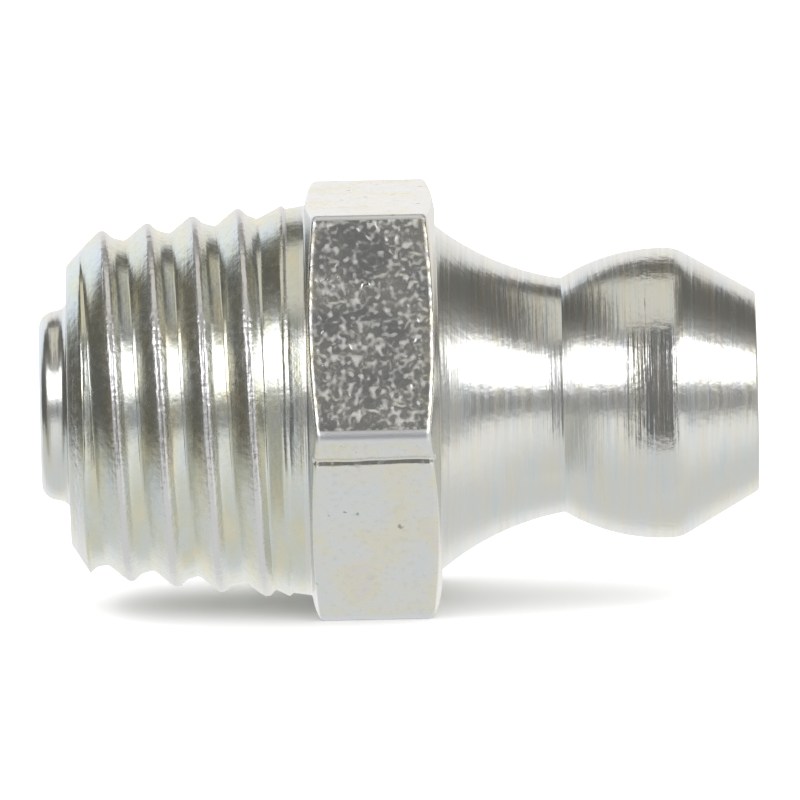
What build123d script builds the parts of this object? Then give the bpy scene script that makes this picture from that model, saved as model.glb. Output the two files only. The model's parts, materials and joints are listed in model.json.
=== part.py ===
from build123d import *
import math
import os

# Straight grease nipple with a conical coupler head and a self-forming taper thread.
#
# The axis of the nipple is X. The thread points to -X and the head to +X.
# The origin is on the axis, in the end face of the hexagon that seats against the machine.
# One flat of the hexagon faces -Z, and the nipple lies on it.
# Lengths are in millimetres and angles in degrees.

# Driving dimensions

overall_length = 15.8

# Hexagon, for a 9 mm spanner
hexagon_across_flats = 9.0
hexagon_length = 2.9
hexagon_corner_radius = 0.25  # drawn bar, so the long corners are not sharp
hexagon_face_inset = 0.35  # from the flats to the flat ring inside each end chamfer
hexagon_chamfer_angle = 11.0  # from the end face

# Shank, from the hexagon to the lead face of the thread
shank_length = 5.25
shank_diameter = 8.5
lead_face_inset = 0.625  # from the cone of the crests to the edge of the lead face
lead_chamfer_angle = 45.0  # from the axis

# Taper thread, right-handed, for an M8 x 1 hole
thread_pitch = 1.0
thread_depth = 0.285
thread_taper = 8.0  # from the axis to the cone of the crests
thread_end_step = 0.05  # from the shank up to the last crests, which are rolled to a cylinder
thread_end_length = 1.16  # from the hexagon to where that cylinder meets the cone
thread_start_angle = 59.0  # where the crest crosses the lead face plane, from above the axis
thread_crest_width = 0.12
thread_crest_round = 0.02
thread_flank_radius = 0.7  # hollow of each flank
thread_root_width = 0.12
thread_runout = 0.4  # plain shank between the thread and the hexagon
thread_fade = 0.45  # length over which the root rises to the plain shank

# Lip at the thread end, crimped inwards to hold the spring
lip_length = 0.625
lip_wall = 0.35  # around the bore
lip_thickness = 0.4
lip_opening_diameter = 1.9
lip_corner_radius = 0.36
lip_edge_radius = 0.12
lip_root_radius = 0.26

# Neck and coupler head
neck_root_diameter = 7.6
neck_root_radius = 5.88
head_diameter = 6.4
head_back_step = 0.62  # from the neck up to the land
head_back_radius = 4.19
head_land_length = 0.34
head_cone_angle = 30.0  # from the axis
head_cone_step = 1.015  # from the end face up to the land
head_edge_radius = 0.8
head_face_edge_radius = 0.08

# Grease way
bore_diameter = 3.4
orifice_diameter = 2.0
orifice_length = 0.5
orifice_chamfer = 0.12
seat_angle = 45.0  # from the axis

# Check ball and its spring
ball_side_clearance = 0.2  # from the ball to the bore
seat_clearance = 0.02
wire_diameter = 0.35
spring_side_clearance = 0.275  # from the spring to the bore
spring_active_coils = 10
spring_closed_coils = 1  # at each end
spring_coil_points = 8  # places set along each coil, with a smooth curve through them
spring_clearance = 0.02  # between closed coils, and between the spring and the ball


def rise(angle):
    """How far a line at this angle to the axis rises for each unit along it."""
    return math.tan(math.radians(angle))


def corner(sketch, along, radius):
    """The corner of a half profile at this place along the axis and this radius."""
    return sketch.vertices().sort_by_distance((along, radius))[0]


# Planes along the axis
lead_face_x = -shank_length
lip_end_x = lead_face_x - lip_length
lip_inside_x = lip_end_x + lip_thickness
hexagon_middle_x = hexagon_length / 2
head_face_x = lip_end_x + overall_length


# Threaded shank: a root cone and one helical ridge, trimmed to the outline of the blank

shank_radius = shank_diameter / 2
crest_end_radius = shank_radius + thread_end_step
crest_lead_radius = crest_end_radius - (shank_length - thread_end_length) * rise(thread_taper)
lead_face_radius = crest_lead_radius - lead_face_inset
ridge_foot_sink = 0.08  # how far the ridge starts under the root, so that the two fuse
ridge_foot_width = thread_pitch - thread_root_width
thread_lead_in = thread_pitch * (1 + thread_start_angle / 360)
helix_start_x = lead_face_x - thread_lead_in
helix_end_x = hexagon_middle_x / 2
root_start_x = helix_start_x - thread_pitch
root_end_x = -thread_runout - thread_fade


def crest_radius(along):
    """Radius of the cone of the crests at this place along the axis."""
    return crest_lead_radius + (along - lead_face_x) * rise(thread_taper)


def root_radius(along):
    """Radius of the cone of the roots at this place along the axis."""
    return crest_radius(along) - thread_depth


def ridge_foot(from_crest):
    """Foot of the ridge at this distance along the axis from its crest."""
    return (from_crest, from_crest * rise(thread_taper) - thread_depth - ridge_foot_sink)


def fade_radius(along):
    """Radius of the short cone that joins the last root to the plain shank."""
    fade_rise = (shank_radius - root_radius(root_end_x)) / thread_fade
    return shank_radius + (along + thread_runout) * fade_rise


with BuildPart() as threaded_shank:
    with BuildSketch(Plane.XZ):
        with BuildLine():
            Polyline(
                (root_start_x, 0),
                (root_start_x, root_radius(root_start_x)),
                (hexagon_middle_x, root_radius(hexagon_middle_x)),
                (hexagon_middle_x, 0),
                close=True,
            )
        make_face()
    revolve(axis=Axis.X)

    with BuildLine() as crest_line:
        Helix(
            pitch=thread_pitch / math.cos(math.radians(thread_taper)),
            height=helix_end_x - helix_start_x,
            radius=crest_radius(helix_start_x),
            center=(helix_start_x, 0, 0),
            direction=(1, 0, 0),
            cone_angle=thread_taper,
        )
    crest_start = Plane(origin=crest_line.line @ 0, x_dir=(1, 0, 0), z_dir=(0, -1, 0))
    with BuildSketch(crest_start):
        with BuildLine():
            left_foot = ridge_foot(-ridge_foot_width / 2)
            right_foot = ridge_foot(ridge_foot_width / 2)
            left_edge = (-thread_crest_width / 2, -thread_crest_round)
            right_edge = (thread_crest_width / 2, -thread_crest_round)
            RadiusArc(left_foot, left_edge, thread_flank_radius)
            ThreePointArc(left_edge, (0, 0), right_edge)
            RadiusArc(right_edge, right_foot, thread_flank_radius)
            Line(right_foot, left_foot)
        make_face()
    sweep(is_frenet=True)

    fade_start_x = root_end_x - thread_fade
    fade_end_x = thread_fade - thread_runout
    with BuildSketch(Plane.XZ):
        with BuildLine():
            Polyline(
                (fade_start_x, 0),
                (fade_start_x, fade_radius(fade_start_x)),
                (fade_end_x, fade_radius(fade_end_x)),
                (hexagon_middle_x, fade_radius(fade_end_x)),
                (hexagon_middle_x, 0),
                close=True,
            )
        make_face()
    revolve(axis=Axis.X)

    lead_chamfer_length = (crest_end_radius - lead_face_radius) / rise(lead_chamfer_angle)
    with BuildSketch(Plane.XZ):
        with BuildLine():
            Polyline(
                (lead_face_x, 0),
                (lead_face_x, lead_face_radius),
                (lead_face_x + lead_chamfer_length, crest_end_radius),
                (-thread_runout - thread_end_step, crest_end_radius),
                (-thread_runout, shank_radius),
                (helix_end_x, shank_radius),
                (helix_end_x, 0),
                close=True,
            )
        make_face()
    revolve(axis=Axis.X, mode=Mode.INTERSECT)


# Hexagon, with both ends chamfered on the lathe

hexagon_out_radius = hexagon_across_flats / 2 / math.cos(math.radians(30))
hexagon_face_radius = hexagon_across_flats / 2 - hexagon_face_inset
hexagon_chamfer_depth = (hexagon_out_radius - hexagon_face_radius) * rise(hexagon_chamfer_angle)

with BuildPart() as hexagon:
    with BuildSketch(Plane.YZ) as hexagon_section:
        RegularPolygon(radius=hexagon_across_flats / 2, side_count=6, major_radius=False)
        fillet(hexagon_section.vertices(), hexagon_corner_radius)
    extrude(amount=hexagon_length)
    with BuildSketch(Plane.XZ):
        with BuildLine():
            Polyline(
                (0, 0),
                (0, hexagon_face_radius),
                (hexagon_chamfer_depth, hexagon_out_radius),
                (hexagon_length - hexagon_chamfer_depth, hexagon_out_radius),
                (hexagon_length, hexagon_face_radius),
                (hexagon_length, 0),
                close=True,
            )
        make_face()
    revolve(axis=Axis.X, mode=Mode.INTERSECT)


# Nipple body: lip, neck and head turned in one piece with the shank and the hexagon

bore_radius = bore_diameter / 2
lip_radius = bore_radius + lip_wall
lip_opening_radius = lip_opening_diameter / 2
neck_root = (hexagon_length, neck_root_diameter / 2)
head_radius = head_diameter / 2
head_face_radius = head_radius - head_cone_step
head_cone_length = head_cone_step / rise(head_cone_angle)
cone_start_x = head_face_x - head_cone_length
land_start_x = cone_start_x - head_land_length
head_back_height = head_back_radius - head_back_step
head_back_length = math.sqrt(head_back_radius**2 - head_back_height**2)
neck_end = (land_start_x - head_back_length, head_radius - head_back_step)

orifice_radius = orifice_diameter / 2
seat_top_x = head_face_x - orifice_length
seat_length = (bore_radius - orifice_radius) / rise(seat_angle)

with BuildPart() as nipple_body:
    with BuildSketch(Plane.XZ) as turned_outline:
        with BuildLine():
            Polyline(
                (lip_end_x, 0),
                (lip_end_x, lip_radius),
                (lead_face_x - lip_root_radius, lip_radius),
            )
            RadiusArc(
                (lead_face_x - lip_root_radius, lip_radius),
                (lead_face_x, lip_radius + lip_root_radius),
                -lip_root_radius,
            )
            Polyline(
                (lead_face_x, lip_radius + lip_root_radius),
                (hexagon_middle_x, lip_radius + lip_root_radius),
                (hexagon_middle_x, neck_root_diameter / 2),
                neck_root,
            )
            RadiusArc(neck_root, neck_end, -neck_root_radius)
            RadiusArc(neck_end, (land_start_x, head_radius), head_back_radius)
            Polyline(
                (land_start_x, head_radius),
                (cone_start_x, head_radius),
                (head_face_x, head_face_radius),
                (head_face_x, 0),
                (lip_end_x, 0),
            )
        make_face()
        fillet(corner(turned_outline, lip_end_x, lip_radius), lip_corner_radius)
        fillet(corner(turned_outline, cone_start_x, head_radius), head_edge_radius)
        fillet(corner(turned_outline, head_face_x, head_face_radius), head_face_edge_radius)
    revolve(axis=Axis.X)
    add(hexagon.part)
    add(threaded_shank.part)

    with BuildSketch(Plane.XZ) as grease_way:
        with BuildLine():
            Polyline(
                (lip_end_x, 0),
                (lip_end_x, lip_opening_radius),
                (lip_inside_x, lip_opening_radius),
                (lip_inside_x, bore_radius),
                (seat_top_x - seat_length, bore_radius),
                (seat_top_x, orifice_radius),
                (head_face_x - orifice_chamfer, orifice_radius),
                (head_face_x, orifice_radius + orifice_chamfer),
                (head_face_x, 0),
                close=True,
            )
        make_face()
        fillet(corner(grease_way, lip_inside_x, lip_opening_radius), lip_edge_radius)
    revolve(axis=Axis.X, mode=Mode.SUBTRACT)


# Check ball, just behind its seat

ball_radius = bore_radius - ball_side_clearance
seat_apex_x = seat_top_x + orifice_radius / rise(seat_angle)
ball_x = seat_apex_x - (ball_radius + seat_clearance) / math.sin(math.radians(seat_angle))

with BuildPart(Plane.YZ.offset(ball_x)) as check_ball:
    Sphere(ball_radius)


# Spring between the lip and the ball: open coils between the closed coils of its two ends

wire_radius = wire_diameter / 2
spring_radius = bore_radius - spring_side_clearance - wire_radius
ball_to_wire = ball_radius + spring_clearance + wire_radius
spring_start_x = lip_inside_x + wire_radius
spring_end_x = ball_x - math.sqrt(ball_to_wire**2 - spring_radius**2)
closed_pitch = wire_diameter + spring_clearance
closed_length = spring_closed_coils * closed_pitch
open_length = spring_end_x - spring_start_x - 2 * closed_length
open_pitch = open_length / spring_active_coils
spring_coils = spring_active_coils + 2 * spring_closed_coils


def wire_place(coils_along):
    """Middle of the wire after this many coils from the lip."""
    open_coils = min(max(coils_along - spring_closed_coils, 0), spring_active_coils)
    along = spring_start_x + open_coils * open_pitch + (coils_along - open_coils) * closed_pitch
    turned = math.radians(360 * coils_along)
    return (along, spring_radius * math.sin(turned), spring_radius * math.cos(turned))


with BuildPart() as ball_spring:
    with BuildLine() as wire_line:
        place_count = spring_coils * spring_coil_points
        Spline(*[wire_place(place / spring_coil_points) for place in range(place_count + 1)])
    with BuildSketch(Plane(origin=wire_line.line @ 0, z_dir=wire_line.line % 0)):
        Circle(wire_radius)
    sweep(is_frenet=True)


nipple_body.part.label = "nipple_body"
check_ball.part.label = "check_ball"
ball_spring.part.label = "ball_spring"

os.makedirs("parts", exist_ok=True)
for piece in (nipple_body, check_ball, ball_spring):
    export_step(piece.part, f"parts/{piece.part.label}.step")
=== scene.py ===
import json
import math

import bmesh
import bpy
import numpy as np
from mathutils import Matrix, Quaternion, Vector

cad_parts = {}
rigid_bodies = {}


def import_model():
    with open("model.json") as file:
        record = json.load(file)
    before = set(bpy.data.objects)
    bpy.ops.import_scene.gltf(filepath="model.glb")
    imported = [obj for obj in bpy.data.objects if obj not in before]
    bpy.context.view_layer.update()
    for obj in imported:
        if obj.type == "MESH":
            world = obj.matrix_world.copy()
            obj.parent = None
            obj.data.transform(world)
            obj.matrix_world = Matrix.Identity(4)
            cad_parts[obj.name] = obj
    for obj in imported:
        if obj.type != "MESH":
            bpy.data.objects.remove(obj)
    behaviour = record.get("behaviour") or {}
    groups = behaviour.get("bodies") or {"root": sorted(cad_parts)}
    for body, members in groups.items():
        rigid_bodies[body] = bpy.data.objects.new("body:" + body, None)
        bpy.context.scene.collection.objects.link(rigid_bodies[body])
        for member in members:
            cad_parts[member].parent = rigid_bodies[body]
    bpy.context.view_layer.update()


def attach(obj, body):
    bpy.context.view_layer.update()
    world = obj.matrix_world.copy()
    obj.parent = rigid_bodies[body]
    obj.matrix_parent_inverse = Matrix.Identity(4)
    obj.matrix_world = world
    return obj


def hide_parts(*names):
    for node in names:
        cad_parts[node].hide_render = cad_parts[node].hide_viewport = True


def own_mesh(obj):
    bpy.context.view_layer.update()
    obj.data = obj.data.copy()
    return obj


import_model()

scene = bpy.context.scene
mm = 0.001


# helpers for node trees and meshes

def addNode(tree, kind, inputs=None, **settings):
    node = tree.nodes.new(kind)
    for name, value in settings.items():
        setattr(node, name, value)
    for key, value in (inputs or {}).items():
        socket = node.inputs[key]
        if isinstance(value, bpy.types.NodeSocket):
            tree.links.new(value, socket)
        else:
            socket.default_value = value
    return node


def calc(tree, operation, *values):
    return addNode(tree, "ShaderNodeMath", dict(enumerate(values)), operation=operation).outputs[0]


def mathsIn(tree):  # calc for one tree, under a short name in the formulas
    return lambda operation, *values: calc(tree, operation, *values)


def noise(tree, place, scale, detail, **inputs):
    return addNode(tree, "ShaderNodeTexNoise",
                   {"Vector": place, "Scale": scale, "Detail": detail, **inputs}).outputs


def smooth(tree, value, low, high):  # 0 below low, 1 above high, eased between
    return addNode(tree, "ShaderNodeMapRange", {0: value, 1: low, 2: high},
                   interpolation_type="SMOOTHSTEP").outputs[0]


def blend(tree, value, ahead, share):  # from one value to the other as share goes from 0 to 1
    return calc(tree, "MULTIPLY_ADD", share, calc(tree, "SUBTRACT", ahead, value), value)


def mixColour(tree, share, under, over):
    mix = addNode(tree, "ShaderNodeMix", data_type="RGBA")
    for socket, value in zip((mix.inputs[0], mix.inputs[6], mix.inputs[7]), (share, under, over)):
        if isinstance(value, bpy.types.NodeSocket):
            tree.links.new(value, socket)
        else:
            socket.default_value = (*value, 1.0)
    return mix.outputs[2]


def attribute(tree, name):
    return addNode(tree, "ShaderNodeAttribute", attribute_name=name).outputs["Fac"]


def setBump(tree, shader, height, strength, distance):
    bump = addNode(tree, "ShaderNodeBump", {"Strength": strength, "Distance": distance, "Height": height})
    tree.links.new(bump.outputs[0], shader.inputs["Normal"])


def placeObject(name, data):
    placed = bpy.data.objects.new(name, data)
    scene.collection.objects.link(placed)
    return placed


def meshObject(name, verts, faces, materials, faceMaterials=None):
    mesh = bpy.data.meshes.new(name)
    mesh.from_pydata(verts, [], faces)
    for material in materials:
        mesh.materials.append(material)
    if faceMaterials is not None:
        mesh.polygons.foreach_set("material_index", faceMaterials)
    return placeObject(name, mesh)


def closeUp(mesh, distance=2e-7):  # merges the seams and turns the faces outwards
    work = bmesh.new()
    work.from_mesh(mesh)
    bmesh.ops.remove_doubles(work, verts=work.verts, dist=distance)
    bmesh.ops.dissolve_degenerate(work, edges=work.edges, dist=distance)
    bmesh.ops.recalc_face_normals(work, faces=work.faces)
    work.to_mesh(mesh)
    work.free()
    mesh.shade_smooth()


def toPlainMesh(piece):  # bakes the modifiers of a piece into its own mesh
    depsgraph = bpy.context.evaluated_depsgraph_get()
    made = bpy.data.meshes.new_from_object(piece.evaluated_get(depsgraph), depsgraph=depsgraph)
    piece.modifiers.clear()
    made.name = piece.name
    piece.data = made


def setInput(modifier, name, value):
    for item in modifier.node_group.interface.items_tree:
        if item.item_type == "SOCKET" and item.in_out == "INPUT" and item.name == name:
            modifier[item.identifier] = value


def startTree(name, sizes):  # a node group with a named input for each size, and one for the finish
    tree = bpy.data.node_groups.new(name, "GeometryNodeTree")
    face = tree.interface
    face.new_socket("Geometry", in_out="INPUT", socket_type="NodeSocketGeometry")
    for size in sizes:
        face.new_socket(size, in_out="INPUT", socket_type="NodeSocketFloat")
    face.new_socket("Finish", in_out="INPUT", socket_type="NodeSocketMaterial")
    face.new_socket("Geometry", in_out="OUTPUT", socket_type="NodeSocketGeometry")
    return tree, tree.nodes.new("NodeGroupInput").outputs


def endTree(tree, geometry, finish, selection=True):
    real = addNode(tree, "GeometryNodeRealizeInstances", {0: geometry})
    finished = addNode(tree, "GeometryNodeSetMaterial", {"Geometry": real.outputs[0],
                                                         "Selection": selection, "Material": finish})
    end = tree.nodes.new("NodeGroupOutput")
    tree.links.new(finished.outputs[0], end.inputs[0])


def runTree(piece, tree, sizes, finish):
    modifier = piece.modifiers.new(tree.name, "NODES")
    modifier.node_group = tree
    for name, value in sizes.items():
        setInput(modifier, name, value)
    setInput(modifier, "Finish", finish)
    toPlainMesh(piece)


# finishes

def metalBase(name):
    material = bpy.data.materials.new(name)
    material.use_nodes = True
    tree = material.node_tree
    shader = tree.nodes["Principled BSDF"]
    shader.inputs["Metallic"].default_value = 1.0
    place = addNode(tree, "ShaderNodeTexCoord").outputs["Object"]
    return material, tree, shader, place


def axisParts(tree, place):  # how far along the axis a place is, and which way from it
    parts = addNode(tree, "ShaderNodeSeparateXYZ", {0: place})
    across = addNode(tree, "ShaderNodeCombineXYZ", {1: parts.outputs[1], 2: parts.outputs[2]})
    around = addNode(tree, "ShaderNodeVectorMath", {0: across.outputs[0]}, operation="NORMALIZE")
    return parts.outputs[0], around.outputs[0]


def ringPattern(tree, axis, perMetre, turns, detail, offset=0.0):
    # noise that runs round the axis in rings, and changes slowly on its way round
    along, around = axis
    stretched = addNode(tree, "ShaderNodeVectorMath", {0: around, 3: turns}, operation="SCALE")
    shift = addNode(tree, "ShaderNodeCombineXYZ",
                    {0: calc(tree, "MULTIPLY_ADD", along, perMetre, offset)})
    joined = addNode(tree, "ShaderNodeVectorMath", {0: stretched.outputs[0], 1: shift.outputs[0]},
                     operation="ADD")
    return noise(tree, joined.outputs[0], 1.0, detail)["Fac"]


def colourBand(tree, amount, stops):
    ramp = addNode(tree, "ShaderNodeValToRGB", {0: amount})
    marks = ramp.color_ramp.elements
    while len(marks) < len(stops):
        marks.new(0.5)
    for mark, (position, colour) in zip(marks, stops):
        mark.position = position
        mark.color = (*colour, 1.0)
    return ramp.outputs[0]


def remap(tree, value, low, high, toLow, toHigh):
    return addNode(tree, "ShaderNodeMapRange",
                   {0: value, 1: low, 2: high, 3: toLow, 4: toHigh}).outputs[0]


# noises are scale and detail; rings are how many in a metre, change on the way round, detail and offset
noiseSpan = (0.3, 0.7)  # where most of a noise's values lie

turnedFinish = {
    "fineRings": (15000.0, 1.3, 2.0), "coarseRings": (4200.0, 0.9, 1.0, 7.0), "coarseHeight": 1.6,
    "tintRings": (3300.0, 1.3, 3.0, 3.0), "smudges": (5200.0, 2.0), "smudgeHeight": 0.9,
    "depth": 0.00002, "bump": 0.27, "roughness": (0.19, 0.28),
    "land": (6.95, 7.25, 8.1, 8.2), "landBump": 0.66,  # millimetres where its finish fades in and out
    "tints": [(0.28, (0.725, 0.765, 0.78)), (0.42, (0.77, 0.78, 0.77)), (0.54, (0.785, 0.775, 0.745)),
              (0.66, (0.80, 0.78, 0.70)), (0.78, (0.765, 0.755, 0.75))],
    "boreShade": 0.8,
}


def makeTurnedZinc(name="turnedZinc", shade=1.0):
    f = turnedFinish
    material, tree, shader, place = metalBase(name)
    axis = axisParts(tree, place)
    fine = ringPattern(tree, axis, *f["fineRings"])
    coarse = ringPattern(tree, axis, *f["coarseRings"])
    tint = ringPattern(tree, axis, *f["tintRings"])
    smudge = noise(tree, place, *f["smudges"])["Fac"]
    height = calc(tree, "MULTIPLY_ADD", coarse, f["coarseHeight"],
                  calc(tree, "MULTIPLY_ADD", smudge, f["smudgeHeight"], fine))
    fadeIn, full, fadeOut, gone = (x * mm for x in f["land"])
    onLand = calc(tree, "MULTIPLY", remap(tree, axis[0], fadeIn, full, 0.0, 1.0),
                  remap(tree, axis[0], fadeOut, gone, 1.0, 0.0))
    strength = calc(tree, "MULTIPLY_ADD", onLand, f["landBump"] - f["bump"], f["bump"])
    setBump(tree, shader, height, strength, f["depth"])
    tints = [(spot, [part * shade for part in colour]) for spot, colour in f["tints"]]
    tree.links.new(colourBand(tree, tint, tints), shader.inputs["Base Color"])
    tree.links.new(remap(tree, fine, *noiseSpan, *f["roughness"]), shader.inputs["Roughness"])
    return material


drawnFinish = {
    "lumps": (4600.0, 0.5), "lumpRise": (0.25, 0.80), "lumpHeight": 0.0000165,
    "grain": (6800.0, 0.0), "grainHeight": 0.35,
    "patches": (1100.0, 1.0), "patchSpan": (0.35, 0.6), "patchStrength": (0.75, 1.0),
    "pits": 3300.0, "pitShift": (0.00025, 0.0002, 0.0002), "pitWidth": (0.08, 0.12), "pitFade": (0.5, 1.1),
    "pitShade": 0.8, "pitsLeftOut": 0.80, "pitDepth": -0.5, "pitColour": (0.34, 0.33, 0.31),
    "specks": (7600.0, 0.3), "speckSpan": (0.48, 0.81), "speckSharpness": 1.6, "speckRoughness": 0.70,
    "stains": (1100.0, 3.0), "stainSpan": (0.35, 0.65), "roughness": (0.20, 0.26), "edgeRoughness": 0.44,
    "tints": [(0.30, (0.81, 0.83, 0.84)), (0.42, (0.835, 0.835, 0.825)), (0.50, (0.855, 0.84, 0.79)),
              (0.58, (0.875, 0.84, 0.715)), (0.72, (0.84, 0.81, 0.81))],
    "lumpyColour": (0.83, 0.83, 0.825), "lumpyShare": 0.75, "edgeColour": (0.90, 0.905, 0.93),
}


def makeDrawnZinc():
    f = drawnFinish
    material, tree, shader, place = metalBase("drawnZinc")
    lumps = noise(tree, place, *f["lumps"], Distortion=0.15)["Fac"]
    grain = noise(tree, place, *f["grain"])
    patches = noise(tree, place, *f["patches"])["Fac"]
    ragged = addNode(tree, "ShaderNodeVectorMath", {0: grain["Color"], 1: f["pitShift"], 2: place},
                     operation="MULTIPLY_ADD").outputs[0]
    spots = addNode(tree, "ShaderNodeTexVoronoi", {"Vector": ragged, "Scale": f["pits"]}).outputs
    chance = addNode(tree, "ShaderNodeSeparateColor", {0: spots["Color"]}).outputs
    narrow, wider = f["pitWidth"]
    fromPit = calc(tree, "DIVIDE", spots["Distance"], calc(tree, "MULTIPLY_ADD", chance[1], wider, narrow))
    pit = calc(tree, "MULTIPLY", remap(tree, fromPit, *f["pitFade"], f["pitShade"], 0.0),
               calc(tree, "GREATER_THAN", chance[0], f["pitsLeftOut"]))
    stain = noise(tree, place, *f["stains"], Distortion=0.4)["Fac"]
    edge, lumpy = attribute(tree, "edge"), attribute(tree, "lumpy")
    height = calc(tree, "MULTIPLY_ADD", grain["Fac"], f["grainHeight"], smooth(tree, lumps, *f["lumpRise"]))
    height = calc(tree, "MULTIPLY_ADD", pit, f["pitDepth"], height)
    strength = calc(tree, "MULTIPLY", remap(tree, patches, *f["patchSpan"], *f["patchStrength"]), lumpy)
    setBump(tree, shader, height, strength, f["lumpHeight"])
    colour = colourBand(tree, stain, f["tints"])
    colour = mixColour(tree, remap(tree, lumpy, 0.5, 1.0, 0.0, f["lumpyShare"]), colour, f["lumpyColour"])
    colour = mixColour(tree, edge, colour, f["edgeColour"])
    tree.links.new(mixColour(tree, pit, colour, f["pitColour"]), shader.inputs["Base Color"])
    specks = noise(tree, place, *f["specks"])["Fac"]
    frosted = calc(tree, "POWER", remap(tree, specks, *f["speckSpan"], 0.0, 1.0), f["speckSharpness"])
    roughness = remap(tree, stain, *f["stainSpan"], *f["roughness"])
    roughness = blend(tree, roughness, f["speckRoughness"], calc(tree, "MULTIPLY", frosted, strength))
    tree.links.new(blend(tree, roughness, f["edgeRoughness"], edge), shader.inputs["Roughness"])
    return material


rolledFinish = {
    "grain": (7500.0, 2.0), "dragRings": (17000.0, 2.2, 1.0), "dragHeight": 0.5,
    "tintRings": (2600.0, 2.6, 3.0, 5.0), "depth": 0.00003, "bump": 0.13, "crestBump": 0.85,
    "roughness": (0.185, 0.285), "crestRoughness": 0.33,
    "tints": [(0.28, (0.715, 0.755, 0.765)), (0.42, (0.745, 0.765, 0.72)), (0.55, (0.74, 0.745, 0.65)),
              (0.67, (0.80, 0.76, 0.60)), (0.78, (0.76, 0.73, 0.71))],
    "crestColour": (0.83, 0.82, 0.83),
}


def makeRolledZinc():
    f = rolledFinish
    material, tree, shader, place = metalBase("rolledZinc")
    axis = axisParts(tree, place)
    grain = noise(tree, place, *f["grain"])["Fac"]
    drag = ringPattern(tree, axis, *f["dragRings"])
    tint = ringPattern(tree, axis, *f["tintRings"])
    crest = attribute(tree, "crest")
    strength = calc(tree, "MULTIPLY_ADD", crest, f["crestBump"] - f["bump"], f["bump"])
    setBump(tree, shader, calc(tree, "MULTIPLY_ADD", drag, f["dragHeight"], grain), strength, f["depth"])
    colour = mixColour(tree, crest, colourBand(tree, tint, f["tints"]), f["crestColour"])
    tree.links.new(colour, shader.inputs["Base Color"])
    roughness = remap(tree, grain, *noiseSpan, *f["roughness"])
    tree.links.new(blend(tree, roughness, f["crestRoughness"], crest), shader.inputs["Roughness"])
    return material


steelFinish = {
    "scuffs": (5200.0, 4.0), "ballTints": [(0.35, (0.66, 0.67, 0.69)), (0.65, (0.74, 0.74, 0.74))],
    "ballRoughness": (0.06, 0.16),
    "wireRings": (1500.0, 9.0, 3.0), "wireTints": [(0.3, (0.36, 0.35, 0.34)), (0.7, (0.52, 0.51, 0.49))],
    "wireRoughness": (0.22, 0.38),
}


def makeBallSteel():
    f = steelFinish
    material, tree, shader, place = metalBase("ballSteel")
    scuff = noise(tree, place, *f["scuffs"])["Fac"]
    tree.links.new(colourBand(tree, scuff, f["ballTints"]), shader.inputs["Base Color"])
    tree.links.new(remap(tree, scuff, *noiseSpan, *f["ballRoughness"]), shader.inputs["Roughness"])
    return material


def makeSpringSteel():
    f = steelFinish
    material, tree, shader, place = metalBase("springSteel")
    drawn = ringPattern(tree, axisParts(tree, place), *f["wireRings"])
    tree.links.new(colourBand(tree, drawn, f["wireTints"]), shader.inputs["Base Color"])
    tree.links.new(remap(tree, drawn, *noiseSpan, *f["wireRoughness"]), shader.inputs["Roughness"])
    return material


turnedZinc = makeTurnedZinc()
boredZinc = makeTurnedZinc("boredZinc", turnedFinish["boreShade"])
drawnZinc = makeDrawnZinc()
rolledZinc = makeRolledZinc()
ballSteel = makeBallSteel()
springSteel = makeSpringSteel()
print("finishes made")


# nipple body: a turned and bored blank on a ring grid, its thread pressed in by Geometry Nodes

bodySizes = {  # millimetres and degrees
    "lipEnd": -5.875, "lipInside": -5.475, "lipSeam": 1.35, "lipRadius": 2.02, "lipFoot": 2.15,
    "lipOpening": 0.95, "openingCorner": 0.12, "openingBurr": 0.06, "lipCorner": 0.36, "lipRoot": 0.24,
    "leadFace": -5.25, "leadRadius": 3.07, "leadSlope": 1.34, "leadLean": 0.25, "leadWidth": 0.06,
    "leadCorner": 0.045, "shank": 4.24, "shankFoot": 4.30, "shankRoot": 0.05, "threadEnd": -0.36,
    "blankStep": (-0.45, -0.40),
    "flats": 9.0, "hexLength": 2.9, "hexCorners": (0.25, 0.22, 0.15, 0.25, 0.23, 0.20),
    "hexFace": 4.15, "hexFaceEdge": 0.15, "hexChamfer": 11.0, "hexEdge": 0.13, "hexSeam": 0.1,
    "grooveTurn": 186.7, "grooveDepth": 0.07, "grooveWidth": 0.083, "grooveSpread": 1.08,
    "grooveDrift": ((0.18, 2.1, 0.0), (0.07, 7.3, 1.0)),  # degrees, waves and where each starts
    "faceLumps": (0.8, 0.25, 1.0, 0.5, 0.7, 0.9), "wornEdge": (0.28, 0.2), "wornRim": (0.17, 0.06),
    "neckRoot": 3.8, "neckFillet": 0.06, "neckRootRadius": 5.88, "neck": 2.58, "neckEnd": 5.634,
    "waist": 0.05, "backRadius": 4.19, "landStart": 7.827, "landEnd": 8.167, "head": 3.2, "headEdge": 0.8,
    "headFaceX": 9.925, "headFace": 2.185, "headFaceEdge": 0.08, "headSeam": 0.13,
    "orifice": 1.0, "orificeChamfer": 0.12, "orificeEdge": 0.03, "seatTop": 9.425, "seatFoot": 8.725,
    "bore": 1.7, "boreCorner": 0.05,
}

# degrees between the grid's turns
bodyDetail = {"perFlat": 30, "nextToCorner": 0.3, "grooveClear": 1.6, "groove": (0.2, 0.45, 0.7, 1.0, 1.5)}

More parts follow.
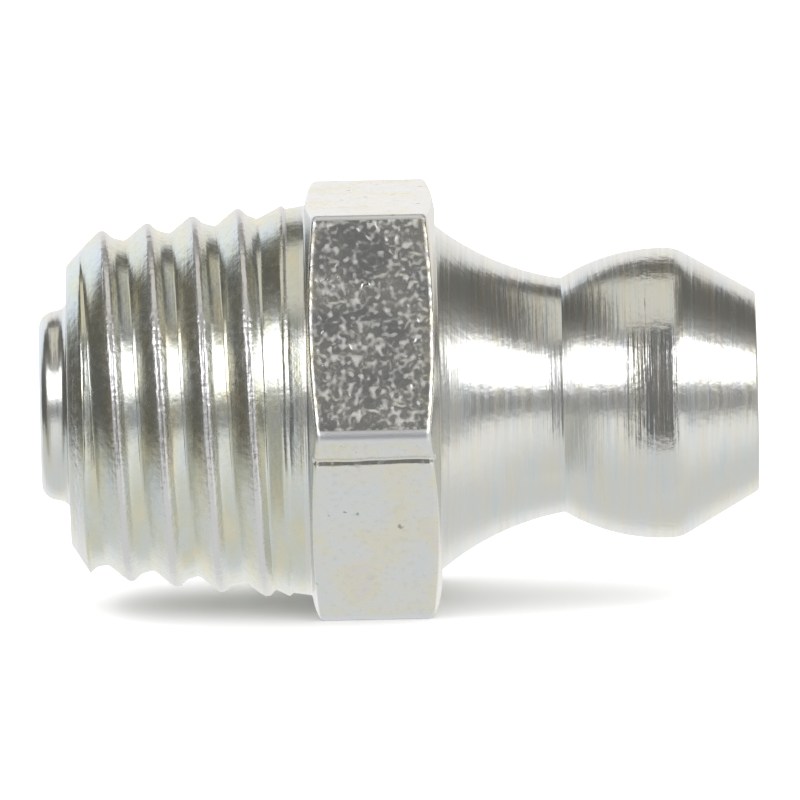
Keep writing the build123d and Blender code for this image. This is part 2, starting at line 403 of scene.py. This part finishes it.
threadSizes = {  # metres and degrees, as the node tree takes them
    "Pitch": 1.0 * mm, "Crest Place": -3.664 * mm, "Depth": 0.292 * mm, "Taper": 8.0,
    "Lead Face": bodySizes["leadFace"] * mm, "Lead Radius": 3.7252 * mm, "End Radius": 4.3 * mm,
    "Starved Depth": 0.09 * mm, "Starved From": -4.4 * mm, "Starved To": -5.15 * mm,
    "Fade Start": -1.18 * mm, "Fade End": -0.6 * mm, "Shank Radius": bodySizes["shank"] * mm,
    "Seam Depth": 0.008 * mm, "Seam Width": 0.025, "Seam Place": 0.985, "Seam Waves": 4200.0,
    "Crest Band": 0.115, "Wander": 0.02, "Wander Waves": 2600.0, "Softness": 0.02 * mm,
    "Thread End": bodySizes["threadEnd"] * mm, "Lead In Cut": 0.058 * mm,
    "Lead In From": bodySizes["leadWidth"] * mm, "Lead In To": 0.2 * mm, "Smallest Radius": 2.4 * mm,
    "Seed": 3.0,
}

# the rolled profile from one crest to the next, as share of the pitch and share of the depth
threadProfile = [(0, 0.995), (0.015, 0.983), (0.035, 0.958), (0.055, 0.918), (0.075, 0.859),
                 (0.1, 0.769), (0.15, 0.591), (0.19, 0.452), (0.21, 0.392), (0.23, 0.345),
                 (0.26, 0.29), (0.29, 0.243), (0.33, 0.185), (0.4, 0.088), (0.44, 0.032),
                 (0.454, 0.012), (0.462, 0.004), (0.47, 0.002), (0.479, 0.007), (0.49, 0.017), (0.51, 0.037),
                 (0.53, 0.062), (0.55, 0.096), (0.6, 0.21), (0.75, 0.568), (0.87, 0.839), (0.89, 0.885),
                 (0.91, 0.93), (0.93, 0.966), (0.95, 0.988), (0.98, 1), (1, 0.995)]

# where the grid's lanes lie across one pitch, closest together at crest and root
samplesPerPitch = [0.0, 0.018, 0.036, 0.054, 0.072, 0.09, 0.13, 0.165, 0.185, 0.205, 0.23, 0.26, 0.29, 0.33,
                   0.38, 0.42, 0.44, 0.454, 0.462, 0.47, 0.479, 0.49, 0.508, 0.526, 0.55, 0.60, 0.68, 0.76,
                   0.83, 0.87, 0.89, 0.91, 0.928, 0.946, 0.964, 0.982]


def hexTurns():  # angles round the axis, close together at the six rounded corners and at the groove
    s, d = bodySizes, bodyDetail
    bends = [math.radians(a) for a in np.linspace(-30, 30, 9)]
    corners = []
    for radius in s["hexCorners"]:
        inset = (s["flats"] / 2 - radius) / math.cos(math.radians(30))
        corners.append([math.degrees(math.atan2(radius * math.sin(a), inset + radius * math.cos(a)))
                        for a in bends])
    angles = []
    for sector, corner in enumerate(corners):
        middle = 60.0 * sector
        following = middle + 60 + corners[(sector + 1) % 6][0]
        angles += [middle + c for c in corner]
        angles += list(np.linspace(middle + corner[-1] + d["nextToCorner"], following - d["nextToCorner"],
                                   d["perFlat"]))
    groove = s["grooveTurn"]
    angles = [a for a in angles if abs(a - groove) > d["grooveClear"]]
    angles += [groove] + [groove + side * off for off in d["groove"] for side in (-1, 1)]
    return np.radians(np.sort(np.mod(np.array(angles), 360.0)))


turns = hexTurns()
turnCount = len(turns)


def nearestCorner(turn):  # the radius of the nearest corner, and how far its middle is from the axis
    corner = np.array(bodySizes["hexCorners"])[np.round(np.degrees(turn) / 60.0).astype(int) % 6]
    return corner, (bodySizes["flats"] / 2 - corner) / math.cos(math.radians(30))


def cornerReach(turn):  # how many degrees from its middle the nearest corner's rounding ends
    corner, inset = nearestCorner(turn)
    return np.degrees(np.arctan2(corner * 0.5, inset + corner * math.cos(math.radians(30))))


def hexRadius(turn):  # radius of the rounded hexagon in each direction
    folded = np.mod(np.degrees(turn) + 30.0, 60.0) - 30.0  # from the nearest corner
    straight = bodySizes["flats"] / 2 / np.cos(np.radians(30.0 - np.abs(folded)))
    corner, inset = nearestCorner(turn)
    a = np.radians(folded)
    rounded = inset * np.cos(a) + np.sqrt(np.maximum(corner ** 2 - (inset * np.sin(a)) ** 2, 0))
    return np.where(np.abs(a) < np.radians(cornerReach(turn)), rounded, straight)


def turnPath(stops):
    # stops are (along, radius, corner radius, steps in the corner, steps to the next stop);
    # gives one ring of along + 1j * radius after another, each with a value for every turn
    points = [np.broadcast_to(np.asarray(x) + 1j * np.asarray(r), (turnCount,)) for x, r, *_ in stops]
    rings = []
    last = None
    for k, (*_, radius, cornerSteps, edgeSteps) in enumerate(stops):
        here = points[k]
        if radius > 0 and 0 < k < len(stops) - 1:
            back = points[k - 1] - here
            ahead = points[k + 1] - here
            back, ahead = back / abs(back), ahead / abs(ahead)
            half = np.arccos(np.clip((back * ahead.conjugate()).real, -1, 1)) / 2
            middle = here + (back + ahead) / abs(back + ahead) * radius / np.sin(half)
            start = here + back * radius / np.tan(half) - middle
            end = here + ahead * radius / np.tan(half) - middle
            sweep = np.angle(end / start)
            arc = [middle + start * np.exp(1j * sweep * u) for u in np.linspace(0, 1, cornerSteps + 1)]
        else:
            arc = [here]
        if last is not None:
            rings += [last + (arc[0] - last) * u for u in np.linspace(0, 1, steps + 1)[1:-1]]
        rings += arc
        last, steps = arc[-1], edgeSteps
    return rings


def arcStops(start, end, radius, hollow, count):
    # places along a circular arc between two ends, with the two ends left out
    a, b = complex(*start), complex(*end)
    chord = b - a
    side = 1j if hollow else -1j
    middle = (a + b) / 2 + side * chord / abs(chord) * math.sqrt(radius ** 2 - abs(chord) ** 2 / 4)
    sweep = np.angle((b - middle) / (a - middle))
    spots = [middle + (a - middle) * np.exp(1j * sweep * u) for u in np.linspace(0, 1, count + 1)[1:-1]]
    return [(p.real, p.imag, 0, 0, 1) for p in spots]


def leadRadius(along, turn):  # the lead chamfer runs out of true, so it is longer on one side
    s = bodySizes
    return s["leadRadius"] + (s["leadSlope"] - s["leadLean"] * np.sin(turn)) * (along - s["leadFace"])


def blankRadius(along, turn):  # outline of the blank under the thread
    t = threadSizes
    cone = t["Lead Radius"] / mm + (along - bodySizes["leadFace"]) * math.tan(math.radians(t["Taper"]))
    outline = np.minimum(np.minimum(leadRadius(along, turn), cone), t["End Radius"] / mm)
    start, end = bodySizes["blankStep"]
    return outline + (bodySizes["shank"] - outline) * np.clip((along - start) / (end - start), 0, 1)


def lipRings():
    s = bodySizes
    leadStart = s["leadFace"] + s["leadWidth"]
    return turnPath([
        (s["lipInside"], s["lipSeam"], 0, 0, 2),
        (s["lipInside"], s["lipOpening"], s["openingCorner"], 4, 2),
        (s["lipEnd"], s["lipOpening"], s["openingBurr"], 4, 3),
        (s["lipEnd"], s["lipRadius"], s["lipCorner"], 9, 1),
        (s["leadFace"], s["lipFoot"], s["lipRoot"], 7, 4),
        (s["leadFace"], s["leadRadius"], s["leadCorner"], 4, 1),
        (leadStart, leadRadius(leadStart, turns), 0, 0, 1),
    ])


def hexagonRings():  # plain shank, chamfered hexagon and the groove along it
    s = bodySizes
    chamfer = math.tan(math.radians(s["hexChamfer"]))
    hexOut = hexRadius(turns)
    hexDepth = (hexOut - s["hexFace"]) * chamfer
    rings = turnPath([
        (s["threadEnd"], s["shank"], 0, 0, 4),
        ((s["shankFoot"] - s["hexFace"]) * chamfer, s["shankFoot"], s["shankRoot"], 4, 2),
        (hexDepth, hexOut, s["hexEdge"], 4, 14),
        (s["hexLength"] - hexDepth, hexOut, s["hexEdge"], 4, 2),
        (s["hexLength"], s["hexFace"], s["hexFaceEdge"], 4, 2),
        (s["hexLength"], s["neckRoot"] + s["hexSeam"], 0, 0, 1),
    ])
    offTurn = np.degrees(turns) - s["grooveTurn"]
    grooved = []
    for ring in rings:
        inside = (ring.real > hexDepth - 0.02) & (ring.real < s["hexLength"] - hexDepth + 0.02)
        drift = sum(swing * np.sin(ring.real * rate + shift) for swing, rate, shift in s["grooveDrift"])
        across = np.radians(offTurn - drift) * s["flats"] / 2 * s["grooveSpread"]
        cut = s["grooveDepth"] * np.exp(-(across / s["grooveWidth"]) ** 2)
        grooved.append(ring - 1j * np.where(inside, cut, 0))
    return grooved


def headRings():
    s = bodySizes
    neckRoot, neckEnd = (s["hexLength"], s["neckRoot"]), (s["neckEnd"], s["neck"])
    landStart = (s["landStart"], s["head"])
    return turnPath([
        (s["hexLength"], s["neckRoot"] + s["hexSeam"], 0, 0, 1),
        (*neckRoot, s["neckFillet"], 4, 1),
        *arcStops(neckRoot, neckEnd, s["neckRootRadius"], True, 30),
        (*neckEnd, s["waist"], 4, 1),
        *arcStops(neckEnd, landStart, s["backRadius"], False, 26),
        (*landStart, 0, 0, 1),
        (s["landEnd"], s["head"], s["headEdge"], 8, 16),
        (s["headFaceX"], s["headFace"], s["headFaceEdge"], 5, 4),
        (s["headFaceX"], s["orifice"] + s["orificeChamfer"] + s["headSeam"], 0, 0, 1),
    ])


def boreRings():
    s = bodySizes
    chamfered = s["orifice"] + s["orificeChamfer"]
    return turnPath([
        (s["headFaceX"], chamfered + s["headSeam"], 0, 0, 1),
        (s["headFaceX"], chamfered, s["orificeEdge"], 3, 1),
        (s["headFaceX"] - s["orificeChamfer"], s["orifice"], s["orificeEdge"], 3, 2),
        (s["seatTop"], s["orifice"], s["orificeEdge"], 3, 4),
        (s["seatFoot"], s["bore"], s["boreCorner"], 3, 6),
        (s["lipInside"], s["bore"], s["boreCorner"], 3, 1),
        (s["lipInside"], s["lipSeam"], 0, 0, 1),
    ])


def threadGrid():  # follows the helix, so that the thread's crests run along edges
    s, t = bodySizes, threadSizes
    pitch, crest = t["Pitch"] / mm, t["Crest Place"] / mm
    low, high = s["leadFace"] + s["leadWidth"], s["threadEnd"]
    lanes = [crest + pitch * (n + u) for n in range(-4, 5) for u in samplesPerPitch]
    lanes = np.array([x for x in lanes if low - pitch - 0.05 < x < high + 0.05])
    verts = []
    for turn in np.append(turns, turns[0] + 2 * math.pi):
        along = np.clip(lanes + pitch * turn / (2 * math.pi), low, high)
        radius = np.where(along <= low, leadRadius(low, turn), blankRadius(along, turn))
        radius = np.where(along >= high, s["shank"], radius)
        verts.extend(zip(along, radius * math.cos(turn), radius * math.sin(turn)))
    return verts, len(lanes)


bodyFinishes = [turnedZinc, rolledZinc, drawnZinc, boredZinc]
asTurned, asRolled, asDrawn, asBored = range(4)


def hexagonKind(middle):  # flats as drawn, faces as turned, and the shank below them as rolled
    if middle.imag > hexRadius(turns).mean() - 0.07:
        return asDrawn
    return asTurned if middle.imag > bodySizes["shankFoot"] - 0.02 else asRolled


def buildBlank():
    verts, faces, kinds = [], [], []

    def addRings(rings, kindOf):
        first = len(verts)
        for ring in rings:
            verts.extend(zip(ring.real, ring.imag * np.cos(turns), ring.imag * np.sin(turns)))
        for k in range(len(rings) - 1):
            kind = kindOf((rings[k].mean() + rings[k + 1].mean()) / 2)
            for j in range(turnCount):
                a, b = first + k * turnCount + j, first + k * turnCount + (j + 1) % turnCount
                faces.append((a, b, b + turnCount, a + turnCount))
                kinds.append(kind)

    addRings(lipRings(), lambda middle: asTurned)
    addRings(hexagonRings(), hexagonKind)
    addRings(headRings(), lambda middle: asTurned)
    addRings(boreRings(), lambda middle: asBored)
    first = len(verts)
    gridVerts, count = threadGrid()
    verts += gridVerts
    for j in range(turnCount):
        for k in range(count - 1):
            a = first + j * count + k
            faces.append((a, a + count, a + count + 1, a + 1))
            kinds.append(asRolled)

    verts = [(x * mm, y * mm, z * mm) for x, y, z in verts]
    blank = meshObject("zincBody", verts, faces, bodyFinishes, kinds)
    closeUp(blank.data)
    markEdges(blank.data)
    return blank


def markEdges(mesh):  # how worn the hexagon's corners are, and how lumpy each of its faces
    s = bodySizes
    spots = np.zeros(len(mesh.vertices) * 3)
    mesh.vertices.foreach_get("co", spots)
    x, y, z = spots.reshape(-1, 3).T / mm
    radius = np.hypot(y, z)
    angle = np.degrees(np.arctan2(z, y))
    offCorner = np.abs(np.mod(angle + 30.0, 60.0) - 30.0)
    reach, fade = s["wornEdge"]
    corner = np.clip((cornerReach(np.radians(angle)) + reach - offCorner) / fade, 0, 1)
    onHexagon = (x > -0.01) & (x < s["hexLength"] + 0.01) & (radius > s["hexFace"])
    chamfer = math.tan(math.radians(s["hexChamfer"]))
    toRim = np.minimum(x, s["hexLength"] - x) - (radius - s["hexFace"]) * chamfer
    reach, fade = s["wornRim"]
    rim = np.clip((reach - toRim) / fade, 0, 1)
    lumps = np.array(s["faceLumps"])[np.floor(np.mod(angle, 360.0) / 60.0).astype(int) % 6]
    edge = np.where(onHexagon, corner, 0.0)
    lumpy = np.where(onHexagon, lumps * (1 - 0.8 * corner) * (1 - 0.5 * rim), 0.5)
    for name, values in (("edge", edge), ("lumpy", lumpy)):
        mesh.attributes.new(name, "FLOAT", "POINT").data.foreach_set("value", values.astype(np.float32))


def threadTree():
    tree, given = startTree("rolledThread", threadSizes)
    m = mathsIn(tree)
    position = addNode(tree, "GeometryNodeInputPosition").outputs[0]

    def wave(scale, detail):
        return addNode(tree, "ShaderNodeTexNoise", {"Vector": position, "W": given["Seed"],
                                                    "Scale": scale, "Detail": detail},
                       noise_dimensions="4D").outputs["Fac"]

    def hump(value, width):  # 1 where the value is 0, and towards 0 past the width
        return m("EXPONENT", m("MULTIPLY", -1.0, m("POWER", m("DIVIDE", value, width), 2.0)))

    xyz = addNode(tree, "ShaderNodeSeparateXYZ", {0: position}).outputs
    radius = m("SQRT", m("ADD", m("MULTIPLY", xyz[1], xyz[1]), m("MULTIPLY", xyz[2], xyz[2])))
    angle = m("DIVIDE", m("ARCTAN2", xyz[2], xyz[1]), 2 * math.pi)
    drift = m("MULTIPLY", m("SUBTRACT", wave(given["Wander Waves"], 3.0), 0.5), given["Wander"])
    helix = m("SUBTRACT", m("DIVIDE", m("SUBTRACT", xyz[0], given["Crest Place"]), given["Pitch"]), angle)
    phase = m("FRACT", m("ADD", helix, drift))
    profile = addNode(tree, "ShaderNodeFloatCurve", {"Value": phase})
    curve = profile.mapping.curves[0]
    while len(curve.points) < len(threadProfile):
        curve.points.new(0.5, 0.5)
    for point, spot in zip(curve.points, threadProfile):
        point.location = spot
    profile.mapping.update()
    height = profile.outputs[0]

    # a rolled crest is two folds with a seam between them, which closes and opens on its way round
    fromSeam = m("SUBTRACT", m("FRACT", m("ADD", m("SUBTRACT", phase, given["Seam Place"]), 0.5)), 0.5)
    seam = m("MULTIPLY", m("MULTIPLY", hump(fromSeam, given["Seam Width"]), given["Seam Depth"]),
             smooth(tree, wave(given["Seam Waves"], 2.0), *noiseSpan))

    slope = m("TANGENT", m("RADIANS", given["Taper"]))
    crestRadius = m("MINIMUM", m("MULTIPLY_ADD", m("SUBTRACT", xyz[0], given["Lead Face"]), slope,
                                 given["Lead Radius"]), given["End Radius"])
    starved = m("MULTIPLY", given["Starved Depth"],
                smooth(tree, xyz[0], given["Starved From"], given["Starved To"]))
    depth = m("ADD", given["Depth"], starved)
    pressed = m("SUBTRACT", crestRadius, m("MULTIPLY", depth, m("SUBTRACT", 1.0, height)))
    pressed = m("SUBTRACT", pressed, seam)
    fadeSlope = m("DIVIDE", given["Depth"], m("SUBTRACT", given["Fade End"], given["Fade Start"]))
    fadeFloor = m("MULTIPLY_ADD", m("SUBTRACT", xyz[0], given["Fade End"]), fadeSlope, given["Shank Radius"])
    pressed = m("SMOOTH_MAX", pressed, fadeFloor, given["Softness"])
    pressed = m("SMOOTH_MIN", radius, pressed, given["Softness"])
    inThread = m("MULTIPLY", m("LESS_THAN", xyz[0], given["Thread End"]),
                 m("GREATER_THAN", xyz[0], m("ADD", given["Lead Face"], given["Lead In Cut"])))
    outside = m("GREATER_THAN", radius, given["Smallest Radius"])
    share = m("MULTIPLY", m("MULTIPLY", inThread, outside),
              smooth(tree, xyz[0], m("ADD", given["Lead Face"], given["Lead In From"]),
                     m("ADD", given["Lead Face"], given["Lead In To"])))
    newRadius = m("MULTIPLY_ADD", m("SUBTRACT", pressed, radius), share, radius)
    scale = m("DIVIDE", newRadius, m("MAXIMUM", radius, 1e-6))
    moved = addNode(tree, "ShaderNodeCombineXYZ", {0: xyz[0], 1: m("MULTIPLY", xyz[1], scale),
                                                   2: m("MULTIPLY", xyz[2], scale)}).outputs[0]
    pressedIn = addNode(tree, "GeometryNodeSetPosition", {"Geometry": given["Geometry"], "Position": moved})
    band = m("MULTIPLY", share, hump(fromSeam, given["Crest Band"]))
    marked = addNode(tree, "GeometryNodeStoreNamedAttribute",
                     {"Geometry": pressedIn.outputs[0], "Name": "crest", "Value": band},
                     data_type="FLOAT", domain="POINT")
    endTree(tree, marked.outputs[0], given["Finish"], share)
    return tree


zincBody = buildBlank()
runTree(zincBody, threadTree(), threadSizes, rolledZinc)
zincBody.data.shade_smooth()
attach(zincBody, "body")
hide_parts("nipple_body")
print("nipple body:", len(zincBody.data.polygons), "faces")


# check ball

ballSizes = {"centre": 8.275, "radius": 1.5, "travel": 1.0, "detail": 5}


def buildBall():
    work = bmesh.new()
    bmesh.ops.create_icosphere(work, subdivisions=ballSizes["detail"], radius=ballSizes["radius"] * mm)
    bmesh.ops.translate(work, verts=work.verts, vec=(ballSizes["centre"] * mm, 0, 0))
    mesh = bpy.data.meshes.new("polishedBall")
    work.to_mesh(mesh)
    work.free()
    mesh.materials.append(ballSteel)
    mesh.shade_smooth()
    return placeObject("polishedBall", mesh)


polishedBall = buildBall()
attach(polishedBall, "ball")
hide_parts("check_ball")
print("check ball:", len(polishedBall.data.polygons), "faces")


# ball spring: a wire coiled along a helix whose pitch closes up at both ends

springSizes = {"Start": -5.3 * mm, "End": 7.1303 * mm, "Coil Radius": 1.25 * mm,
               "Wire Radius": 0.175 * mm, "Coils": 12.0, "Closed Pitch": 0.37 * mm}
springDetail = {"roundWire": 14, "alongCoil": 44}


def springTree():
    tree, given = startTree("coiledWire", springSizes)
    m = mathsIn(tree)
    steps = springDetail["alongCoil"] * int(springSizes["Coils"]) + 1
    line = addNode(tree, "GeometryNodeCurvePrimitiveLine", {"End": (1.0, 0.0, 0.0)})
    spaced = addNode(tree, "GeometryNodeResampleCurve", {"Curve": line.outputs[0], "Count": steps})
    coils = m("MULTIPLY", addNode(tree, "GeometryNodeSplineParameter").outputs["Factor"], given["Coils"])
    closedFirst = m("MINIMUM", coils, 1.0)
    closedLast = m("MAXIMUM", m("SUBTRACT", coils, m("SUBTRACT", given["Coils"], 1.0)), 0.0)
    openCoils = m("SUBTRACT", m("SUBTRACT", coils, closedFirst), closedLast)
    length = m("SUBTRACT", given["End"], given["Start"])
    openPitch = m("DIVIDE", m("SUBTRACT", length, m("MULTIPLY", 2.0, given["Closed Pitch"])),
                  m("SUBTRACT", given["Coils"], 2.0))
    along = m("ADD", given["Start"], m("ADD", m("MULTIPLY", openCoils, openPitch),
              m("MULTIPLY", m("ADD", closedFirst, closedLast), given["Closed Pitch"])))
    angle = m("MULTIPLY", coils, 2 * math.pi)
    spot = addNode(tree, "ShaderNodeCombineXYZ", {0: along,
                   1: m("MULTIPLY", given["Coil Radius"], m("SINE", angle)),
                   2: m("MULTIPLY", given["Coil Radius"], m("COSINE", angle))})
    coiled = addNode(tree, "GeometryNodeSetPosition", {"Geometry": spaced.outputs[0],
                                                       "Position": spot.outputs[0]})
    ring = addNode(tree, "GeometryNodeCurvePrimitiveCircle",
                   {"Resolution": springDetail["roundWire"], "Radius": given["Wire Radius"]})
    wire = addNode(tree, "GeometryNodeCurveToMesh", {"Curve": coiled.outputs[0],
                   "Profile Curve": ring.outputs[0], "Fill Caps": True})
    endTree(tree, wire.outputs[0], given["Finish"])
    return tree


coiledSpring = meshObject("coiledSpring", [(0, 0, 0)], [], [])
runTree(coiledSpring, springTree(), springSizes, springSteel)
closeUp(coiledSpring.data)
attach(coiledSpring, "body")
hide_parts("ball_spring")
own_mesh(coiledSpring)
print("ball spring:", len(coiledSpring.data.polygons), "faces")


# floor, light and camera

floorSizes = {"half": 0.9, "height": -4.502 * mm, "roughness": 0.9, "mottle": (30.0, 2.0),
              "greys": [(0.3, (0.90, 0.90, 0.90)), (0.7, (0.92, 0.92, 0.92))]}


def makeFloor():
    material = bpy.data.materials.new("paleFloor")
    material.use_nodes = True
    tree = material.node_tree
    shader = tree.nodes["Principled BSDF"]
    place = addNode(tree, "ShaderNodeTexCoord").outputs["Object"]
    mottle = noise(tree, place, *floorSizes["mottle"])["Fac"]
    tree.links.new(colourBand(tree, mottle, floorSizes["greys"]), shader.inputs["Base Color"])
    shader.inputs["Roughness"].default_value = floorSizes["roughness"]
    shader.inputs["Specular IOR Level"].default_value = 0.0
    half, height = floorSizes["half"], floorSizes["height"]
    corners = [(x * half, y * half, height) for x, y in ((-1, -1), (1, -1), (1, 1), (-1, 1))]
    return meshObject("paleFloor", corners, [(0, 1, 2, 3)], [material])


floor = makeFloor()
floor.visible_glossy = False  # the metal mirrors the surroundings, which carry their own ground

lookDown = 9.3  # degrees

studio = {  # colours laid out round the line of sight, and edges, each with its place and its softness
    "front": (0.0, 0.12), "seen": (1.0, 1.0, 1.0), "onFloor": (2.3, 2.3, 2.3),
    "ceiling": (0.138, 0.134, 0.120), "ceilingLeft": (-0.45, 0.3), "ceilingRight": (0.55, 0.3),
    "leftSide": (0.122, 0.118, 0.104), "rightSide": (0.150, 0.146, 0.13),
    "glow": (0.36, 0.36, 0.345), "glowFrom": (0.0, 0.2), "glowTop": (0.68, 0.12),
    "midGlowFrom": (0.1, 0.2), "midGlowSides": (0.45, 0.12),
    "middle": (0.17, 0.17, 0.167), "middleRise": (0.52, 0.1), "middleTop": (0.13, 0.13, 0.126),
    "middleEnd": (0.80, 0.05), "middleLeft": (0.34, 0.04), "middleRight": (0.40, 0.05),
    "lamp": (0.76, 0.745, 0.67), "lampLeft": (0.41, 0.04), "lampRight": (0.36, 0.13),
    "lampNear": (0.54, 0.05), "lampFar": (-0.26, 0.04), "lampFlare": 0.4, "lampFoot": (0.0, 0.1),
    "softboxes": (2.7, 2.7, 2.7), "softboxLeft": (0.82, 0.03), "softboxRight": (0.92, 0.02),
    "softboxTop": (0.575, 0.04), "softboxFoot": (0.13, 0.04), "cornerFrom": 0.75, "cornerFall": 1.15,
    "apron": (0.25, 0.255, 0.25), "apronFoot": -0.25, "middleFoot": -0.66, "sideFoot": -0.37,
    "sideFrom": (0.88, 0.06), "footSoftness": 0.07,
    "ground": (0.73, 0.745, 0.73), "groundFar": (0.98, 0.98, 0.955), "groundRise": (-0.66, 0.26),
    "groundSides": (0.40, 0.41, 0.37), "groundLeft": (0.66, 0.18), "groundRight": (0.93, 0.03),
    "groundBack": (0.97, 0.97, 0.95), "groundBehind": (0.72, 0.18), "groundTop": (-0.2, 0.06),
    "wall": (0.99, 0.98, 0.965), "wallRise": 1.03, "riseOnLeft": 0.2, "riseFrom": (0.3, 0.2),
    "wallTop": (0.0, 0.04), "wallSlant": 1.9, "wallEnd": (0.0, 0.06), "wallSides": (0.35, 0.15),
    "wallLeft": (0.97, 1.04, 1.12), "wallRight": (0.88, 0.86, 0.82),
}


def makeStudio():
    s = studio
    world = bpy.data.worlds.new("softStudio")
    scene.world = world
    world.use_nodes = True
    tree = world.node_tree
    tree.nodes.clear()
    m = mathsIn(tree)
    toward = addNode(tree, "ShaderNodeTexCoord").outputs["Generated"]
    rise = math.radians(lookDown)

    def along(*direction):
        return addNode(tree, "ShaderNodeVectorMath", {0: toward, 1: direction},
                       operation="DOT_PRODUCT").outputs["Value"]

    def past(value, edge):
        place, soft = edge
        return smooth(tree, value, place - soft, place + soft)

    def unless(share):
        return m("SUBTRACT", 1.0, share)

    def before(value, edge):
        return unless(past(value, edge))

    def within(*shares):
        product = shares[0]
        for share in shares[1:]:
            product = m("MULTIPLY", product, share)
        return product

    def paint(under, share, over):
        return mixColour(tree, share, under, over)

    side = along(1, 0, 0)
    near = along(0, -math.cos(rise), math.sin(rise))
    up = along(0, math.sin(rise), math.cos(rise))
    toLeft, behind, spread = m("MULTIPLY", side, -1.0), m("MULTIPLY", near, -1.0), m("ABSOLUTE", side)
    level = m("SQRT", m("MAXIMUM", m("SUBTRACT", 1.0, m("MULTIPLY", up, up)), 0.001))
    turn = m("DIVIDE", side, level)
    front, farLeft = past(near, s["front"]), past(toLeft, s["softboxLeft"])
    outer = m("MAXIMUM", past(m("MULTIPLY", turn, -1.0), s["middleLeft"]), past(turn, s["middleRight"]))

    # dark ceiling and sides, a faint glow in front, and a darker middle between the softboxes
    colour = paint(s["leftSide"], past(side, s["ceilingLeft"]), s["ceiling"])
    colour = paint(colour, past(side, s["ceilingRight"]), s["rightSide"])
    colour = paint(colour, within(past(near, s["glowFrom"]), before(up, s["glowTop"]), unless(farLeft)),
                   s["glow"])
    colour = paint(colour, within(past(near, s["midGlowFrom"]), before(spread, s["midGlowSides"])), s["glow"])
    colour = paint(colour, within(front, unless(outer), before(up, s["middleEnd"])),
                   paint(s["middle"], past(up, s["middleRise"]), s["middleTop"]))

    # ceiling lamp, whose far edge flares out to the sides
    lampFar, soft = s["lampFar"]
    farEdge = m("MULTIPLY_ADD", spread, -s["lampFlare"], lampFar)
    lamp = within(before(toLeft, s["lampLeft"]), before(side, s["lampRight"]), before(near, s["lampNear"]),
                  past(m("SUBTRACT", near, farEdge), (0.0, soft)), past(up, s["lampFoot"]))
    colour = paint(colour, lamp, s["lamp"])

    # two softboxes with cut corners, and the apron under them
    boxes = within(front, outer, unless(farLeft), before(side, s["softboxRight"]))
    corner = m("MAXIMUM", m("SUBTRACT", spread, s["cornerFrom"]), 0.0)
    softboxTop, soft = s["softboxTop"]
    top = m("MULTIPLY_ADD", corner, -s["cornerFall"], softboxTop)
    colour = paint(colour, within(boxes, past(m("SUBTRACT", top, up), (0.0, soft))), s["softboxes"])
    colour = paint(colour, within(boxes, before(up, s["softboxFoot"])), s["apron"])

    # ground in front
    ground = paint(s["ground"], past(up, s["groundRise"]), s["groundFar"])
    beside = m("MAXIMUM", past(toLeft, s["groundLeft"]), past(side, s["groundRight"]))
    ground = paint(ground, beside, s["groundSides"])
    foot = m("MULTIPLY_ADD", outer, s["apronFoot"] - s["middleFoot"], s["middleFoot"])
    foot = m("MULTIPLY_ADD", past(spread, s["sideFrom"]), s["sideFoot"] - s["apronFoot"], foot)
    colour = paint(colour, past(m("SUBTRACT", foot, up), (0.0, s["footSoftness"])), ground)

    # back wall and the ground before it
    wallRise = m("MULTIPLY_ADD", past(toLeft, s["riseFrom"]), s["riseOnLeft"], s["wallRise"])
    wall = within(past(m("SUBTRACT", m("MULTIPLY", behind, wallRise), up), s["wallTop"]),
                  past(m("MULTIPLY_ADD", behind, s["wallSlant"], side), s["wallEnd"]))
    wallColour = paint(s["wall"], past(toLeft, s["wallSides"]), s["wallLeft"])
    wallColour = paint(wallColour, past(side, s["wallSides"]), s["wallRight"])
    colour = paint(colour, within(unless(front), wall), wallColour)
    colour = paint(colour, within(unless(front), before(up, s["groundTop"])),
                   paint(s["ground"], past(behind, s["groundBehind"]), s["groundBack"]))

    rays = addNode(tree, "ShaderNodeLightPath").outputs
    colour = paint(colour, rays["Is Diffuse Ray"], s["onFloor"])
    colour = paint(colour, rays["Is Camera Ray"], s["seen"])
    surround = addNode(tree, "ShaderNodeBackground", {"Color": colour, "Strength": 1.0})
    end = tree.nodes.new("ShaderNodeOutputWorld")
    tree.links.new(surround.outputs[0], end.inputs[0])


makeStudio()
scene.view_settings.view_transform = "Standard"
print("floor and studio made")

cameraSizes = {"roll": 1.22, "distance": 0.6, "sensor": 36.0, "frameWidth": 17.633 * mm,
               "aim": (2.05 * mm, 0.0, -0.038 * mm)}


def makeCamera():
    c = cameraSizes
    data = bpy.data.cameras.new("camera")
    data.sensor_width = c["sensor"]
    data.lens = c["sensor"] * c["distance"] / c["frameWidth"]
    data.clip_start, data.clip_end = 0.01, 5.0
    camera = placeObject("camera", data)
    rise = math.radians(lookDown)
    back = Vector((0, -math.cos(rise), math.sin(rise)))
    camera.location = Vector(c["aim"]) + back * c["distance"]
    camera.rotation_mode = "QUATERNION"
    camera.rotation_quaternion = ((-back).to_track_quat("-Z", "Y")
                                  @ Quaternion((0, 0, 1), math.radians(-c["roll"])))
    scene.camera = camera


makeCamera()
print("all pieces in place")
